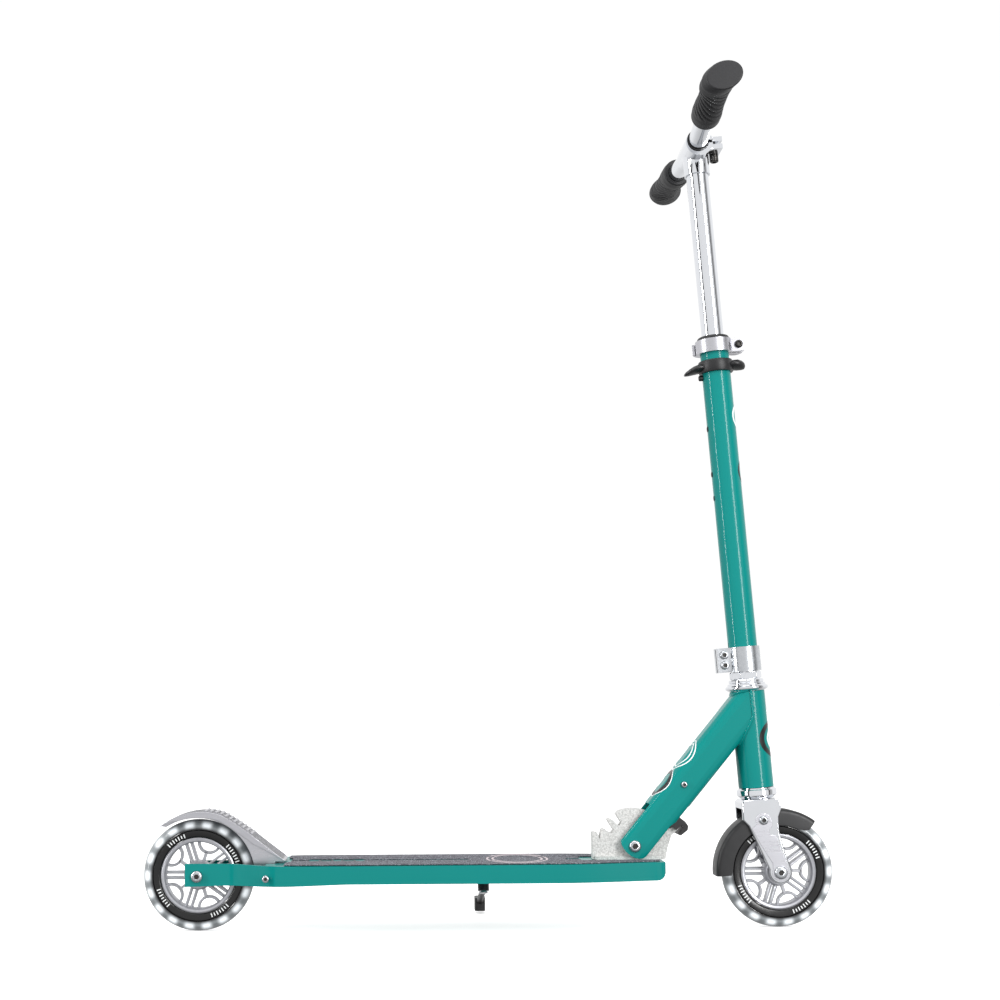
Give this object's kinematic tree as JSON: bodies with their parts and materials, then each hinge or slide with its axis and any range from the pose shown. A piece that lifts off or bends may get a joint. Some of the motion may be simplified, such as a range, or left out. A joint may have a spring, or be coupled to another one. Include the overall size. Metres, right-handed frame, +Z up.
{
  "type": "folding kick scooter",
  "caption": "Two-wheel folding kick scooter with a straight deck, a telescopic T-bar, a pressed fender brake and a kickstand.",
  "frame": {"origin": "on the floor, midway between the wheels' outer edges, on the scooter's middle plane", "axes": "+X forward along the deck, +Y to the rider's left, +Z up"},
  "size_m": [0.7782, 0.3664, 0.928],
  "materials": {
    "teal_paint": "gloss powder coat",
    "grip_tape": "abrasive grit",
    "cast_aluminium": "bead blasted",
    "polished_aluminium": "polished",
    "chrome": "bright plated",
    "zinc_steel": "zinc plated",
    "black_plastic": "moulded",
    "grip_rubber": "moulded matt",
    "clear_tyre": "clear cast polyurethane",
    "core_plastic": "smooth",
    "rim_plastic": "silver moulded"
  },
  "bodies": {
    "deck": {"deck": "teal_paint", "grip_tape_left": "grip_tape", "grip_tape_right": "grip_tape", "fold_bracket": "cast_aluminium", "fold_pivot_bolt": "zinc_steel", "brake_pivot_pin": "zinc_steel", "brake_spring": "zinc_steel", "rear_axle": "zinc_steel", "rear_spacer_left": "zinc_steel", "rear_spacer_right": "zinc_steel", "kickstand_mount": "zinc_steel", "kickstand_nut": "zinc_steel"},
    "rear_wheel": {"rear_tyre": "clear_tyre", "rear_core_ring": "core_plastic", "rear_rim": "rim_plastic", "rear_bearing_left": "zinc_steel", "rear_bearing_right": "zinc_steel"},
    "brake": {"brake": "polished_aluminium"},
    "kickstand": {"kickstand_leg": "black_plastic", "kickstand_foot": "black_plastic"},
    "frame": {"down_tube": "teal_paint", "head_tube": "teal_paint", "lower_cup": "chrome", "upper_cup": "chrome", "latch_guide_bolt": "zinc_steel"},
    "latch": {"fold_latch": "black_plastic", "lock_pin": "zinc_steel"},
    "steering": {"fork": "chrome", "front_axle": "zinc_steel", "front_spacer_left": "zinc_steel", "front_spacer_right": "zinc_steel", "front_fender": "black_plastic", "fender_screw_right": "chrome", "fender_screw_left": "chrome", "headset_lock_ring": "chrome", "headset_hex_nut": "chrome", "stem_clamp": "zinc_steel", "stem_clamp_bolt_1": "zinc_steel", "stem_clamp_bolt_2": "zinc_steel", "stem_tube": "teal_paint", "wing_ring": "black_plastic", "collar": "polished_aluminium", "collar_bolt": "zinc_steel", "seal_ring": "black_plastic"},
    "front_wheel": {"front_tyre": "clear_tyre", "front_core_ring": "core_plastic", "front_rim": "rim_plastic", "front_bearing_left": "zinc_steel", "front_bearing_right": "zinc_steel"},
    "lever": {"collar_lever": "polished_aluminium"},
    "button": {"spring_button": "black_plastic"},
    "t_bar": {"bar_tube": "chrome", "bar_bushing": "black_plastic", "bar_clamp": "chrome", "bar_shim": "black_plastic", "handlebar": "chrome", "bar_clamp_bolt": "zinc_steel", "grip_right": "grip_rubber", "grip_left": "grip_rubber"}
  },
  "joints": [
    {"name": "rear_wheel_spin", "type": "hinge", "parent": "deck", "child": "rear_wheel", "pos_m": [-0.3266, 0, 0.0625], "axis": [0, 1, 0], "continuous": true},
    {"name": "brake_press", "type": "hinge", "parent": "deck", "child": "brake", "pos_m": [-0.2465, 0, 0.063], "axis": [0, -1, 0], "range_deg": [0, 1.7], "stiffness_Nm_per_rad": 2.5, "springref_deg": -11.46},
    {"name": "kickstand_fold", "type": "hinge", "parent": "deck", "child": "kickstand", "pos_m": [-0.004, 0.028, 0.043], "axis": [0, 0.2882, 0.9576], "range_deg": [0, 90]},
    {"name": "stem_fold", "type": "hinge", "parent": "deck", "child": "frame", "pos_m": [0.164, 0, 0.0928], "axis": [0, -1, 0], "range_deg": [0, 86]},
    {"name": "latch_slide", "type": "slide", "parent": "frame", "child": "latch", "axis": [0.6361, 0, 0.7716], "range_m": [-0.0135, 0]},
    {"name": "steering_turn", "type": "hinge", "parent": "frame", "child": "steering", "pos_m": [0.3126, 0, 0.0625], "axis": [-0.0741, 0, 0.9973], "continuous": true},
    {"name": "front_wheel_spin", "type": "hinge", "parent": "steering", "child": "front_wheel", "pos_m": [0.3266, 0, 0.0625], "axis": [0, 1, 0], "continuous": true},
    {"name": "lever_open", "type": "hinge", "parent": "steering", "child": "lever", "pos_m": [0.29489, 0.0155, 0.66519], "axis": [0.0741, 0, -0.9973], "range_deg": [0, 110]},
    {"name": "button_press", "type": "slide", "parent": "steering", "child": "button", "axis": [0.9973, 0, 0.0741], "range_m": [0, 0.0018], "stiffness_N_per_m": 500, "springref_m": -0.002},
    {"name": "bar_height", "type": "slide", "parent": "steering", "child": "t_bar", "axis": [-0.0741, 0, 0.9973], "range_m": [-0.114, 0]}
  ]
}
